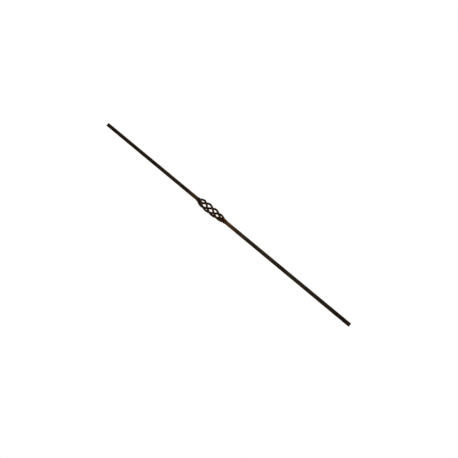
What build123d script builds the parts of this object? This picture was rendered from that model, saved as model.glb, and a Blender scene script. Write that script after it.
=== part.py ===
from build123d import *
import os
from math import cos, pi, radians, sin, tan

# A stair baluster welded up from two square bars and a basket of four twisted rods.
# It stands upright: the origin is the middle of its lower end face, and +Z points up.

# Whole baluster, in millimetres
overall_length = 1117.6
upper_bar_length = 458.0

# Square bar
bar_width = 12.7
bar_corner_radius = 0.9
bar_end_chamfer = 0.7

# Basket, from bar to bar, and the height of its widest point above the lower bar
basket_length = 125.0
basket_diameter = 33.3
basket_turns = 1.0
belly_height = 85.0
belly_fullness = 2.5

# Round rods of the basket: each is shaped in many bends, which take up a set share of the runs beside them
rod_count = 4
rod_diameter = 7.5
rod_root_gap = 0.25
rod_bend_count = 13
rod_bend_share = 0.45

# Welds between the rod roots, set in a little from the faces of the bar
weld_height = 2.0
weld_inset = 0.45
weld_taper = 1.0
weld_rounding = 0.6
weld_clearance = 0.05

# Places along the height
lower_bar_length = overall_length - upper_bar_length - basket_length
basket_bottom = lower_bar_length
basket_top = basket_bottom + basket_length

# Middle lines of the rods: four roots over the corners of the bar, straight as far as the weld reaches
rod_spacing = 2 * pi / rod_count
first_rod_angle = rod_spacing / 2
root_radius = (rod_diameter + rod_root_gap) / (2 * sin(rod_spacing / 2))
root_length = weld_height / (1 - rod_bend_share)
belly_radius = (basket_diameter - rod_diameter) / 2


def rod_radius_at(height):
    """Distance of a rod's middle line from the axis: a barrel, widest at the belly."""
    below_belly = belly_height - root_length
    above_belly = basket_length - root_length - belly_height
    reach = below_belly if height < belly_height else above_belly
    off_belly = abs(height - belly_height) / reach
    return root_radius + (belly_radius - root_radius) * (1 - off_belly**belly_fullness)


def rod_corners(number):
    """Corners of the line that one rod follows: straight roots, and between them a right-handed turn.

    The corners of the turn stand off its true radius, so that the runs between them touch it.
    """
    start_angle = first_rod_angle + number * rod_spacing
    last_bend = rod_bend_count - 1
    bend_angle = 2 * pi * basket_turns / last_bend
    bend_rise = (basket_length - 2 * root_length) / last_bend
    turn = []
    for bend in range(rod_bend_count):
        height = root_length + bend * bend_rise
        angle = start_angle + bend * bend_angle
        radius = rod_radius_at(height)
        if 0 < bend < last_bend:
            radius /= cos(bend_angle / 2)
        turn.append(Vector(radius * cos(angle), radius * sin(angle), height))
    foot = Vector(turn[0].X, turn[0].Y, 0)
    head = Vector(turn[-1].X, turn[-1].Y, basket_length)
    return [foot, *turn, head]


def bend_radii(corners):
    """Radius of the bend at each inner corner, from the turn there and the shorter run beside it."""
    radii = []
    for before, corner, after in zip(corners, corners[1:], corners[2:]):
        arriving = corner - before
        leaving = after - corner
        half_turn = radians(arriving.get_angle(leaving)) / 2
        radii.append(rod_bend_share * min(arriving.length, leaving.length) / tan(half_turn))
    return radii


def rod(number, diameter):
    """One basket rod, swept along its bends, with flat ends that seat on the two bars."""
    corners = rod_corners(number)
    path = FilletPolyline(*corners, radius=bend_radii(corners))
    section = Pos(corners[0]) * Circle(diameter / 2)
    return Pos(0, 0, basket_bottom) * sweep(section, path=path)


def bar(length, free_end):
    """A square bar standing on z = 0, with rolled corners and the edges of its free end broken."""
    body = extrude(RectangleRounded(bar_width, bar_width, bar_corner_radius), length)
    end_face = body.faces().sort_by(Axis.Z)[free_end]
    return chamfer(end_face.edges(), bar_end_chamfer)


def weld_cone():
    """Outer shape of a weld: a rounded cone standing on z = 0, before the rods are let into it."""
    foot_radius = bar_width / 2 - weld_inset
    on_base = (Align.CENTER, Align.CENTER, Align.MIN)
    cone = Cone(foot_radius, foot_radius - weld_taper, weld_height, align=on_base)
    top_edge = cone.edges().sort_by(Axis.Z)[-1]
    return fillet(top_edge, weld_rounding)


lower_bar = bar(lower_bar_length, 0)
upper_bar = Pos(0, 0, basket_top) * bar(upper_bar_length, -1)
rods = [rod(number, rod_diameter) for number in range(rod_count)]
rod_seats = [rod(number, rod_diameter + 2 * weld_clearance) for number in range(rod_count)]
lower_weld = Pos(0, 0, basket_bottom) * weld_cone() - rod_seats
upper_weld = Pos(0, 0, basket_top) * Rot(180, 0, 0) * weld_cone() - rod_seats

os.makedirs("parts", exist_ok=True)
export_step(lower_bar, "parts/lower_bar.step")
export_step(upper_bar, "parts/upper_bar.step")
export_step(lower_weld, "parts/lower_weld.step")
export_step(upper_weld, "parts/upper_weld.step")
for number, basket_rod in enumerate(rods, start=1):
    export_step(basket_rod, f"parts/basket_rod_{number}.step")
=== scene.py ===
from math import cos, pi, radians, sin

import bmesh
import bpy
from mathutils import Matrix, Vector, noise


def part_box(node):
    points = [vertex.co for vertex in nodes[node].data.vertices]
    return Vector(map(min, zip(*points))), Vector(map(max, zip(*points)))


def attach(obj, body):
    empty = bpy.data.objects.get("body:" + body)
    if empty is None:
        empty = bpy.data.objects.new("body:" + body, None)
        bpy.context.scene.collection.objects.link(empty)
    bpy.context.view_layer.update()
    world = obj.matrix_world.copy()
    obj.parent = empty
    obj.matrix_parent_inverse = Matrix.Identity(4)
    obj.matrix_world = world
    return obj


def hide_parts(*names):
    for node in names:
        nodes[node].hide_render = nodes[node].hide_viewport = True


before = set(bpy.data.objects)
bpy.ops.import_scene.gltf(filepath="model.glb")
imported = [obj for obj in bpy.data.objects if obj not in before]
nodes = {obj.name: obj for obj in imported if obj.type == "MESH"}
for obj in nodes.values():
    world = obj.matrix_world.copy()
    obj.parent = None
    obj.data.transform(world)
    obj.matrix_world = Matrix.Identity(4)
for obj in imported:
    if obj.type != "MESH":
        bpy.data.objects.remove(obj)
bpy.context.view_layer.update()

# Lengths are in metres. The baluster stands upright on z = 0 with its axis on the Z axis.
basket_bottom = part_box("lower_bar")[1].z
basket_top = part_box("upper_bar")[0].z
baluster_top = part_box("upper_bar")[1].z
bar_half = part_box("lower_bar")[1].x
rod_names = [name for name in nodes if name.startswith("basket_rod")]

# Camera, as it stood to the baluster in the photograph. Lens and sensor are in millimetres.
lens = 45.161
sensor_width = 36
camera_distance = 1.8754
camera_height = -0.0254
camera_azimuth = radians(4.5)
camera_offset = 0.01055
camera_tilt = radians(15.828)
camera_roll = radians(39.748)

# Weld at each end of the basket: a rippled fillet that runs out from the rod roots onto the bar
fillet_length = 0.009
fillet_bulge = 0.0004
fillet_sink = 0.0001
fillet_sweep = 1.6
fillet_rows = 16
fillet_points = 128
lip_length = 0.0022
lip_inset = 0.001
bar_corner = 0.0009
ripple_size = 0.0021
ripple_depth = 0.0006
root_end_depth = 1e-5

# Drops of weld metal: one in the middle, and layers of smaller ones at each face of the bar
middle_drop_radius = 0.0037
middle_drop_height = 0.0012
drop_layers = 4
drop_radius = 0.0017
drop_radius_step = 0.00013
drop_height = 0.0004
drop_height_step = 0.0012
drop_inset = 0.0012
drop_inset_step = 0.0005
drop_unevenness = 0.16
drop_lumps = 1.7
drop_seed_step = 1.3

# Skin that runs the fillet and the drops together
skin_voxel = 0.00028
skin_softness = 0.5
skin_soft_rounds = 4

# Finish: a dark oiled coat that is rubbed through to copper, and the size and depth of its marks
coat_dark = (0.0086, 0.0058, 0.0032, 1)
coat_warm = (0.0184, 0.0126, 0.0069, 1)
copper_brown = (0.036, 0.0138, 0.0043, 1)
copper_red = (0.060, 0.0190, 0.0044, 1)
rim_tint = (0.5, 0.46, 0.42, 1)
metal_share = 0.8
matt_gloss = 0.0
blotch_size = 0.021
drawn_line_size = 0.0011
gloss_patch_size = 0.006
rub_polish = 0.07
wave_size = 0.014
wave_depth = 0.0002
peel_size = 0.0022
peel_depth = 0.00006
grain_size = 0.0016
grain_depth = 0.00002

# Copper on the bars. Next to the basket it shows in streaks, more below than above: partly
# rubbed-through wear and partly a painted reflection of light on the bar. Along the corners it shows in
# chips: partly wear and partly a painted highlight on the edges. At the free ends it shows in chips of
# wear.
rub_and_reflection_size = 0.005
rub_and_reflection_below_basket = 0.12
rub_and_reflection_above_basket = 0.06
chip_size = 0.008
worn_and_highlit_corner_start = 0.0016
worn_and_highlit_corner_full = 0.0003
corner_wear_and_highlight = 0.85
chipped_end_length = 0.004
chipped_end_rub = 0.5

# Copper on the rods and on the welds. It fades towards the upper end of the basket, which is painted
# shade there.
upper_rub_in_painted_shade = 0.3
lower_rub = 1.0
rod_patch_size = 0.006
weld_patch_size = 0.004
weld_rub = 0.75

# Studio: a pale floor in a white surround
floor_radius = 3.0
floor_points = 96
floor_fade_start = 0.4
floor_fade_end = 2.4
floor_colour = (0.9, 0.9, 0.9, 1)
floor_roughness = 0.9
surround_colour = (1, 1, 1, 1)
surround_seen = 1.0
surround_light = 0.5

# Directions from a bar's end into the basket, and turns from one face of the bar to the next
upwards = 1
downwards = -1
bar_faces = 4
face_turn = 2 * pi / bar_faces


class Shader:
    """A material that is put together one node at a time. Most calls add a node and give its output."""

    def __init__(self, name):
        self.material = bpy.data.materials.new(name)
        self.material.use_nodes = True
        self.tree = self.material.node_tree
        self.surface = self.tree.nodes["Principled BSDF"]
        self.place = self.tree.nodes.new("ShaderNodeTexCoord").outputs["Object"]

    def feed(self, socket, value):
        """Links an output to a socket, or sets the socket to a plain value."""
        if isinstance(value, bpy.types.NodeSocket):
            self.tree.links.new(value, socket)
        else:
            socket.default_value = value

    def look(self, values):
        """Feeds the surface, from a value for each socket's name."""
        for name, value in values.items():
            self.feed(self.surface.inputs[name], value)

    def geometry(self, output):
        """An output of the geometry node, such as the surface's normal."""
        return self.tree.nodes.new("ShaderNodeNewGeometry").outputs[output]

    def math(self, operation, *values):
        """An operation on one or two numbers."""
        node = self.tree.nodes.new("ShaderNodeMath")
        node.operation = operation
        for socket, value in zip(node.inputs, values):
            self.feed(socket, value)
        return node.outputs[0]

    def vector(self, operation, *values):
        """An operation on one or two vectors. A dot product or a length comes back as a number."""
        node = self.tree.nodes.new("ShaderNodeVectorMath")
        node.operation = operation
        for socket, value in zip(node.inputs, values):
            self.feed(socket, value)
        gives_number = operation in ("DOT_PRODUCT", "LENGTH")
        return node.outputs["Value" if gives_number else "Vector"]

    def parts(self):
        """X, Y and Z of the place."""
        node = self.tree.nodes.new("ShaderNodeSeparateXYZ")
        self.feed(node.inputs[0], self.place)
        return node.outputs

    def step(self, value, start, end):
        """0 before start, 1 after end, and smooth between them. End may lie below start."""
        rises = start < end
        node = self.tree.nodes.new("ShaderNodeMapRange")
        node.interpolation_type = "SMOOTHSTEP"
        self.feed(node.inputs["Value"], value)
        self.feed(node.inputs["From Min"], min(start, end))
        self.feed(node.inputs["From Max"], max(start, end))
        self.feed(node.inputs["To Min"], 0.0 if rises else 1.0)
        self.feed(node.inputs["To Max"], 1.0 if rises else 0.0)
        return node.outputs["Result"]

    def between(self, factor, low, high):
        """A number that goes from low to high with the factor."""
        node = self.tree.nodes.new("ShaderNodeMapRange")
        self.feed(node.inputs["Value"], factor)
        self.feed(node.inputs["To Min"], low)
        self.feed(node.inputs["To Max"], high)
        return node.outputs["Result"]

    def noise(self, size, detail=3.0, roughness=0.55, stretch=1.0):
        """Noise with features of about this size, drawn out along the bar by the stretch."""
        node = self.tree.nodes.new("ShaderNodeTexNoise")
        drawn_out = self.vector("MULTIPLY", self.place, (1.0, 1.0, 1.0 / stretch))
        self.feed(node.inputs["Vector"], drawn_out)
        self.feed(node.inputs["Scale"], 1.0 / size)
        self.feed(node.inputs["Detail"], detail)
        self.feed(node.inputs["Roughness"], roughness)
        return node.outputs["Fac"]

    def mix(self, factor, low, high):
        """A colour between two colours."""
        node = self.tree.nodes.new("ShaderNodeMix")
        node.data_type = "RGBA"
        self.feed(node.inputs["Factor"], factor)
        colours = [socket for socket in node.inputs if socket.type == "RGBA"]
        self.feed(colours[0], low)
        self.feed(colours[1], high)
        return [socket for socket in node.outputs if socket.type == "RGBA"][0]

    def bump(self, height, depth, before=None):
        """Relief of this depth, laid over the relief before it."""
        node = self.tree.nodes.new("ShaderNodeBump")
        self.feed(node.inputs["Height"], height)
        self.feed(node.inputs["Distance"], depth)
        if before is not None:
            self.feed(node.inputs["Normal"], before)
        return node.outputs["Normal"]


def oiled_bronze(shader, copper_and_painted_light):
    """Fills in the finish. The mask is 0 where the dark coat is whole and 1 where copper shows. The
    copper is rubbed-through wear; next to the basket and on the bar corners it is also a painted
    reflection and highlight, and its fading towards the upper end of the basket is painted shade.
    """
    blotch_noise = shader.noise(blotch_size, detail=4.0, roughness=0.6, stretch=2.0)
    blotches = shader.step(blotch_noise, start=0.36, end=0.66)
    drawn_lines = shader.noise(drawn_line_size, roughness=0.6, stretch=30.0)
    warmth = shader.math("MULTIPLY", blotches, shader.between(drawn_lines, low=0.55, high=1.2))
    coat = shader.mix(warmth, coat_dark, coat_warm)
    grain = shader.noise(grain_size, detail=2.0)
    copper = shader.mix(shader.step(grain, start=0.4, end=0.62), copper_brown, copper_red)
    dull_patches = shader.step(shader.noise(gloss_patch_size), start=0.3, end=0.7)
    dullness = shader.between(dull_patches, low=0.34, high=0.5)
    polish = shader.math("MULTIPLY", copper_and_painted_light, rub_polish)
    waves = shader.bump(shader.noise(wave_size, detail=2.0, roughness=0.5, stretch=2.5), wave_depth)
    peel = shader.bump(shader.noise(peel_size, detail=2.0), peel_depth, waves)
    shader.look({
        "Base Color": shader.mix(copper_and_painted_light, coat, copper),
        "Metallic": metal_share,
        "Specular IOR Level": matt_gloss,
        "Specular Tint": rim_tint,
        "Roughness": shader.math("SUBTRACT", dullness, polish),
        "Normal": shader.bump(grain, grain_depth, peel),
    })
    return shader.material


def bar_copper_and_painted_light(shader):
    """Where copper shows on a bar: streaks next to the basket, which are wear and also a painted
    reflection; chipped corners, which are wear and also a painted highlight on the edges; and a worn
    free end.
    """
    x, y, z = shader.parts()
    # Streaks next to the basket: rubbed-through copper, and also a painted reflection of light on the
    # bar there.
    below = shader.step(z, basket_bottom - rub_and_reflection_below_basket, basket_bottom)
    above = shader.step(z, basket_top + rub_and_reflection_above_basket, basket_top)
    near_basket = shader.math("MINIMUM", below, above)
    rub_and_reflection_noise = shader.noise(rub_and_reflection_size, detail=4.0, roughness=0.65, stretch=4.0)
    rub_and_reflection = shader.between(shader.step(rub_and_reflection_noise, start=0.34, end=0.68), low=0.15, high=0.6)
    rub_and_painted_light = shader.math("MULTIPLY", near_basket, rub_and_reflection)
    # Chips along the corners: worn copper, and also a painted highlight along the edges of the bar.
    to_corner = shader.math("MINIMUM", shader.math("ABSOLUTE", x), shader.math("ABSOLUTE", y))
    corner = shader.step(to_corner, bar_half - worn_and_highlit_corner_start, bar_half - worn_and_highlit_corner_full)
    chip_noise = shader.noise(chip_size, detail=5.0, roughness=0.7, stretch=5.0)
    chips = shader.step(chip_noise, start=0.44, end=0.6)
    worn_and_highlit_corner = shader.math("MULTIPLY", corner, shader.math("MULTIPLY", chips, corner_wear_and_highlight))
    lower_end = shader.step(z, chipped_end_length, 0.0)
    upper_end = shader.step(z, baluster_top - chipped_end_length, baluster_top)
    free_end = shader.math("MAXIMUM", lower_end, upper_end)
    worn_end = shader.math("MULTIPLY", free_end, shader.math("MULTIPLY", chips, chipped_end_rub))
    wear_and_highlight = shader.math("MAXIMUM", worn_and_highlit_corner, worn_end)
    return shader.math("MAXIMUM", rub_and_painted_light, wear_and_highlight)


def bar_finish_with_painted_light():
    """Bars: dark, with copper rubbed through here and there. Next to the basket and along the corners
    the copper is also a painted reflection and highlight.
    """
    shader = Shader("oiled bronze bar with painted reflection and highlight")
    return oiled_bronze(shader, bar_copper_and_painted_light(shader))


def rub_with_painted_shade_at_top(shader):
    """How strongly copper shows on the basket: it grows from the upper end to the lower one, so that
    the upper end is darker with painted shade.
    """
    lower_part = shader.step(shader.parts()["Z"], basket_top, basket_bottom)
    return shader.between(lower_part, low=upper_rub_in_painted_shade, high=lower_rub)


def rod_finish_with_painted_shade():
    """Rods: copper shows in patches on their outer sides, with less of it towards the upper end, where
    it is held back as painted shade.
    """
    shader = Shader("oiled bronze rod with painted shade")
    outwards = shader.vector("NORMALIZE", shader.vector("MULTIPLY", shader.place, (1.0, 1.0, 0.0)))
    facing_out = shader.vector("DOT_PRODUCT", shader.geometry("Normal"), outwards)
    outer_side = shader.step(facing_out, start=-0.9, end=0.5)
    patch_noise = shader.noise(rod_patch_size, detail=4.0, roughness=0.6, stretch=1.5)
    patches = shader.step(patch_noise, start=0.3, end=0.66)
    copper_and_painted_light = shader.math("MULTIPLY", shader.math("MULTIPLY", outer_side, patches), rub_with_painted_shade_at_top(shader))
    return oiled_bronze(shader, copper_and_painted_light)


def weld_finish_with_painted_light():
    """Welds: rubbed through in patches, fewer towards the upper end as painted shade, which run out
    along the fillet into the copper of the bar with its painted reflection and highlight.
    """
    shader = Shader("oiled bronze weld with painted light")
    z = shader.parts()["Z"]
    lower_run = shader.step(z, basket_bottom - fillet_length, basket_bottom)
    upper_run = shader.step(z, basket_top + fillet_length, basket_top)
    off_bar = shader.math("MINIMUM", lower_run, upper_run)
    patches = shader.step(shader.noise(weld_patch_size), start=0.3, end=0.64)
    rub_and_painted_light = shader.math("MULTIPLY", shader.math("MULTIPLY", patches, weld_rub), rub_with_painted_shade_at_top(shader))
    return oiled_bronze(shader, shader.between(off_bar, low=bar_copper_and_painted_light(shader), high=rub_and_painted_light))


def paint(piece, material):
    """Gives a piece its one material."""
    piece.data.materials.clear()
    piece.data.materials.append(material)


def add(name, data):
    """Adds a new object to the scene."""
    thing = bpy.data.objects.new(name, data)
    bpy.context.scene.collection.objects.link(thing)
    return thing


def add_mesh(name, shape):
    """Adds a new mesh object to the scene, from a bmesh that is then done with."""
    data = bpy.data.meshes.new(name)
    shape.to_mesh(data)
    shape.free()
    return add(name, data)


def drop(mesh, place, radius, seed):
    """Adds one uneven drop of weld metal."""
    made = bmesh.ops.create_icosphere(mesh, subdivisions=2, radius=radius)
    for vertex in made["verts"]:
        away = vertex.co.normalized()
        swell = noise.noise(away * drop_lumps + Vector((seed, 0, 0)))
        vertex.co = place + vertex.co * (1 + drop_unevenness * swell)


def drops(mesh, level, direction):
    """Adds layers of drops between the rods at each face of the bar, and one drop in the middle."""
    seed = level
    for face in range(bar_faces):
        outwards = Matrix.Rotation(face * face_turn, 3, "Z") @ Vector((1, 0, 0))
        for layer in range(drop_layers):
            reach = bar_half - drop_inset - drop_inset_step * layer
            height = level + direction * (drop_height + drop_height_step * layer)
            radius = drop_radius - drop_radius_step * layer
            drop(mesh, outwards * reach + Vector((0, 0, height)), radius, seed)
            seed += drop_seed_step
    drop(mesh, Vector((0, 0, level + direction * middle_drop_height)), middle_drop_radius, seed)


def root_half_width(node):
    """Half the width of the basket at its lower root, from the end of one rod."""
    rod = nodes[node]
    points = [rod.matrix_world @ vertex.co for vertex in rod.data.vertices]
    lowest = min(point.z for point in points)
    return max(abs(point.x) for point in points if point.z < lowest + root_end_depth)


def rounded_square(share, half, corner):
    """A point on a square with rounded corners, at a share of the way round it."""
    along = share * bar_faces + 0.5
    side = int(along)
    across = (along - side - 0.5) * 2 * half
    flat = half - corner
    core = Vector((flat, max(-flat, min(flat, across)), 0))
    point = core + (Vector((half, across, 0)) - core).normalized() * corner
    return Matrix.Rotation(side % bar_faces * face_turn, 3, "Z") @ point


def rippled_ring(mesh, half, corner, height, depth):
    """Adds one level ring of points round a rounded square, with ripples of this depth."""
    ring = []
    for step in range(fillet_points):
        point = rounded_square(step / fillet_points, half, corner)
        outwards = point.normalized()
        point.z = height
        ripple = depth * noise.noise(point / ripple_size)
        ring.append(mesh.verts.new(point + outwards * ripple))
    return ring


def fillet(mesh, level, direction):
    """Adds the fillet: from a lip over the rod roots it narrows to the section of the bar."""
    root_half = root_half_width(rod_names[0]) + fillet_bulge
    lip_row = -1
    rings = []
    for row in range(lip_row, fillet_rows + 1):
        run = max(row, 0) / fillet_rows
        swell = (1 - run) ** fillet_sweep
        half = bar_half - fillet_sink + (root_half - bar_half) * swell
        corner = bar_corner + (root_half / 2 - bar_corner) * swell
        height = level - direction * fillet_length * run
        if row == lip_row:
            half -= lip_inset
            height += direction * lip_length
        rings.append(rippled_ring(mesh, half, corner, height, ripple_depth * (1 - run)))
    for ring, next_ring in zip(rings, rings[1:]):
        for step in range(fillet_points):
            after = (step + 1) % fillet_points
            mesh.faces.new((ring[step], ring[after], next_ring[after], next_ring[step]))
    mesh.faces.new(rings[0])
    mesh.faces.new(rings[-1])


def run_together(piece):
    """Gives a piece one smooth skin round all its parts."""
    loose = piece.data
    skin = piece.modifiers.new("run together", "REMESH")
    skin.mode = "VOXEL"
    skin.voxel_size = skin_voxel
    skin.use_smooth_shade = True
    soften = piece.modifiers.new("soften", "SMOOTH")
    soften.factor = skin_softness
    soften.iterations = skin_soft_rounds
    solid = piece.evaluated_get(bpy.context.evaluated_depsgraph_get())
    final = bpy.data.meshes.new_from_object(solid)
    piece.modifiers.clear()
    piece.data = final
    bpy.data.meshes.remove(loose)


def weld(name, node, level, direction):
    """A weld built up from a fillet and drops that are run together."""
    mesh = bmesh.new()
    fillet(mesh, level, direction)
    drops(mesh, level, direction)
    bmesh.ops.recalc_face_normals(mesh, faces=mesh.faces)
    piece = add_mesh(name, mesh)
    run_together(piece)
    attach(piece, "root")
    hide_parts(node)
    return piece


def lamp(name, place, size, power):
    """A square soft lamp that faces the middle of the basket."""
    light = bpy.data.lights.new(name, "AREA")
    light.size = size
    light.energy = power
    holder = add(name, light)
    holder.location = place
    target = Vector((0, 0, (basket_bottom + basket_top) / 2))
    holder.rotation_euler = (target - Vector(place)).to_track_quat("-Z", "Y").to_euler()


def white_world():
    """A white surround: the camera and reflections see it at a greater strength than it lights at."""
    world = bpy.data.worlds.new("studio")
    bpy.context.scene.world = world
    world.use_nodes = True
    tree = world.node_tree
    rays = tree.nodes.new("ShaderNodeLightPath").outputs
    seen = rays["Is Camera Ray"]
    for kind in ("Is Glossy Ray", "Is Transmission Ray"):
        either = tree.nodes.new("ShaderNodeMath")
        either.operation = "MAXIMUM"
        tree.links.new(seen, either.inputs[0])
        tree.links.new(rays[kind], either.inputs[1])
        seen = either.outputs[0]
    strength = tree.nodes.new("ShaderNodeMapRange")
    tree.links.new(seen, strength.inputs["Value"])
    strength.inputs["To Min"].default_value = surround_light
    strength.inputs["To Max"].default_value = surround_seen
    background = tree.nodes["Background"]
    background.inputs["Color"].default_value = surround_colour
    tree.links.new(strength.outputs["Result"], background.inputs["Strength"])


def pale_floor():
    """A round pale floor that fades out into the white surround and is clear from below."""
    shape = bmesh.new()
    bmesh.ops.create_circle(shape, cap_ends=True, segments=floor_points, radius=floor_radius)
    floor = add_mesh("floor", shape)
    shader = Shader("pale floor")
    paint(floor, shader.material)
    shader.look({
        "Base Color": floor_colour,
        "Roughness": floor_roughness,
        "Specular IOR Level": matt_gloss,
    })
    from_middle = shader.vector("LENGTH", shader.place)
    faded = shader.step(from_middle, floor_fade_start, floor_fade_end)
    clear = shader.tree.nodes.new("ShaderNodeBsdfTransparent").outputs[0]
    blend = shader.tree.nodes.new("ShaderNodeMixShader")
    shader.feed(blend.inputs[0], shader.math("MAXIMUM", faded, shader.geometry("Backfacing")))
    shader.feed(blend.inputs[1], shader.surface.outputs[0])
    shader.feed(blend.inputs[2], clear)
    output = shader.tree.nodes["Material Output"]
    shader.feed(output.inputs["Surface"], blend.outputs[0])


def photo_camera():
    """The camera of the photograph.

    It looks up along the bar from beside its foot, and is rolled so that the bar lies slantwise.
    """
    out = Vector((sin(camera_azimuth), -cos(camera_azimuth), 0))
    side = Vector((cos(camera_azimuth), sin(camera_azimuth), 0))
    down = Vector((0, 0, -1))
    down_seen = cos(camera_tilt) * down - sin(camera_tilt) * out
    back = cos(camera_tilt) * out + sin(camera_tilt) * down
    right = cos(camera_roll) * down_seen + sin(camera_roll) * side
    up = cos(camera_roll) * side - sin(camera_roll) * down_seen
    place = out * camera_distance - side * camera_offset + Vector((0, 0, camera_height))
    data = bpy.data.cameras.new("camera")
    data.sensor_width = sensor_width
    data.lens = lens
    camera = add("camera", data)
    turn = Matrix((right, up, back)).transposed().to_4x4()
    camera.matrix_world = Matrix.Translation(place) @ turn
    bpy.context.scene.camera = camera


bar_material = bar_finish_with_painted_light()
rod_material = rod_finish_with_painted_shade()
weld_material = weld_finish_with_painted_light()
for name in ("lower_bar", "upper_bar"):
    paint(nodes[name], bar_material)
for name in rod_names:
    paint(nodes[name], rod_material)
for name in ("lower_weld", "upper_weld"):
    paint(nodes[name], weld_material)
paint(weld("lower_weld_beads", "lower_weld", basket_bottom, upwards), weld_material)
paint(weld("upper_weld_beads", "upper_weld", basket_top, downwards), weld_material)

white_world()
pale_floor()
lamp("key lamp", place=(0.35, -1.95, 0.95), size=0.6, power=14)
lamp("side lamp", place=(1.9, -0.2, 1.3), size=1.0, power=23)
lamp("back lamp", place=(-0.9, 1.7, 1.5), size=1.0, power=22)
photo_camera()
bpy.context.scene.view_settings.view_transform = "Standard"
